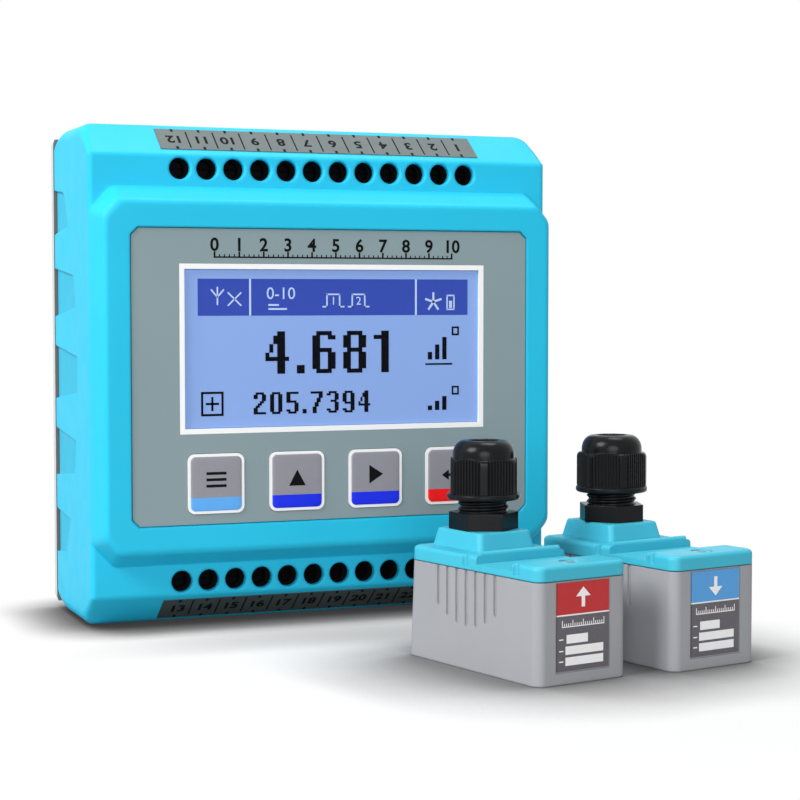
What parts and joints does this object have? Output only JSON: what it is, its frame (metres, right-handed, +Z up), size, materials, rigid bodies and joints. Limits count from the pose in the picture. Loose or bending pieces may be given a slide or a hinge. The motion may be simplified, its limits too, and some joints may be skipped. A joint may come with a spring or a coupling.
{
  "type": "ultrasonic flow meter",
  "caption": "Rail-mounted ultrasonic flow meter with a display, keys and screw terminals, and a pair of clamp-on transducers with cable glands.",
  "frame": {"origin": "middle of the flat underside that the housing stands on", "axes": "+X to the right seen from the front, +Y towards the back, +Z up"},
  "size_m": [0.1433, 0.1669, 0.1375],
  "materials": {
    "cyan_plastic": "satin",
    "base_plastic": "satin",
    "grey_plastic": "satin",
    "black_plastic": "satin",
    "panel_film": "satin",
    "white_plastic": "satin",
    "key_plastic": "satin",
    "window": "clear",
    "lcd": "gloss",
    "circuit_board": "gloss",
    "relay_plastic": "gloss",
    "terminal_plastic": "satin",
    "wedge_plastic": "gloss",
    "label_grey": "satin",
    "label_dark": "satin",
    "rubber": "matte",
    "steel": "brushed",
    "brass": "plain",
    "aluminium": "plain"
  },
  "bodies": {
    "meter": {"front_cover": "cyan_plastic", "rear_base": "base_plastic", "cover_screws": "steel", "rail_clip_spring": "steel", "panel_film": "panel_film", "display_border": "white_plastic", "display_window": "window", "lcd_glass": "lcd", "lcd_frame": "steel", "backlight": "white_plastic", "display_board": "circuit_board", "display_screws": "steel", "key_switches": "black_plastic", "main_board": "circuit_board", "main_board_screws": "steel", "ribbon_sockets": "black_plastic", "ribbon_cable": "base_plastic", "relay": "relay_plastic", "power_converter": "black_plastic", "capacitors": "aluminium", "chips": "black_plastic", "pulse_transformers": "relay_plastic", "terminal_block_top": "terminal_plastic", "terminal_block_bottom": "terminal_plastic", "terminal_screws_top": "steel", "terminal_screws_bottom": "steel", "wire_clamps_top": "brass", "wire_clamps_bottom": "brass", "label_strip_top": "label_grey", "label_strip_bottom": "label_grey"},
    "menu_key": {"key_menu": "key_plastic"},
    "up_key": {"key_up": "key_plastic"},
    "next_key": {"key_next": "key_plastic"},
    "enter_key": {"key_enter": "key_plastic"},
    "clip": {"rail_clip": "black_plastic"},
    "upstream_transducer": {"upstream_body": "grey_plastic", "upstream_wedge": "wedge_plastic", "upstream_crystal": "steel", "upstream_potting": "black_plastic", "upstream_gasket": "rubber", "upstream_cover": "cyan_plastic", "upstream_cover_screw": "steel", "upstream_label": "label_dark", "upstream_gland_body": "black_plastic"},
    "upstream_seal": {"upstream_gland_seal": "rubber"},
    "upstream_nut": {"upstream_gland_nut": "black_plastic"},
    "downstream_transducer": {"downstream_body": "grey_plastic", "downstream_wedge": "wedge_plastic", "downstream_crystal": "steel", "downstream_potting": "black_plastic", "downstream_gasket": "rubber", "downstream_cover": "cyan_plastic", "downstream_cover_screw": "steel", "downstream_label": "label_dark", "downstream_gland_body": "black_plastic"},
    "downstream_seal": {"downstream_gland_seal": "rubber"},
    "downstream_nut": {"downstream_gland_nut": "black_plastic"}
  },
  "joints": [
    {"name": "menu_key_press", "type": "slide", "parent": "meter", "child": "menu_key", "axis": [0, 1, 0], "range_m": [0, 0.0004], "stiffness_N_per_m": 1500, "springref_m": -0.0002},
    {"name": "up_key_press", "type": "slide", "parent": "meter", "child": "up_key", "axis": [0, 1, 0], "range_m": [0, 0.0004], "stiffness_N_per_m": 1500, "springref_m": -0.0002},
    {"name": "next_key_press", "type": "slide", "parent": "meter", "child": "next_key", "axis": [0, 1, 0], "range_m": [0, 0.0004], "stiffness_N_per_m": 1500, "springref_m": -0.0002},
    {"name": "enter_key_press", "type": "slide", "parent": "meter", "child": "enter_key", "axis": [0, 1, 0], "range_m": [0, 0.0004], "stiffness_N_per_m": 1500, "springref_m": -0.0002},
    {"name": "rail_clip_slide", "type": "slide", "parent": "meter", "child": "clip", "axis": [0, 0, -1], "range_m": [0, 0.004], "stiffness_N_per_m": 1000, "springref_m": -0.001, "deforming": ["rail_clip_spring"]},
    {"name": "upstream_lift", "type": "slide", "parent": "meter", "child": "upstream_transducer", "axis": [0, 0, 1], "range_m": [0, 0.08]},
    {"name": "upstream_seal_rise", "type": "slide", "parent": "upstream_transducer", "child": "upstream_seal", "axis": [0, 0, 1], "range_m": [0, 0.0016]},
    {"name": "upstream_nut_turn", "type": "hinge", "parent": "upstream_seal", "child": "upstream_nut", "pos_m": [0.0164, -0.09522, 0.0496], "axis": [0, 0, 1], "range_deg": [0, 360]},
    {"name": "downstream_lift", "type": "slide", "parent": "meter", "child": "downstream_transducer", "axis": [0, 0, 1], "range_m": [0, 0.08]},
    {"name": "downstream_seal_rise", "type": "slide", "parent": "downstream_transducer", "child": "downstream_seal", "axis": [0, 0, 1], "range_m": [0, 0.0016]},
    {"name": "downstream_nut_turn", "type": "hinge", "parent": "downstream_seal", "child": "downstream_nut", "pos_m": [0.0549, -0.09012, 0.0496], "axis": [0, 0, 1], "range_deg": [0, 360]}
  ],
  "couplings": [
    {"joint": "upstream_seal_rise", "follows": "upstream_nut_turn", "m_per_rad": 0.00023873},
    {"joint": "downstream_seal_rise", "follows": "downstream_nut_turn", "m_per_rad": 0.00023873}
  ]
}
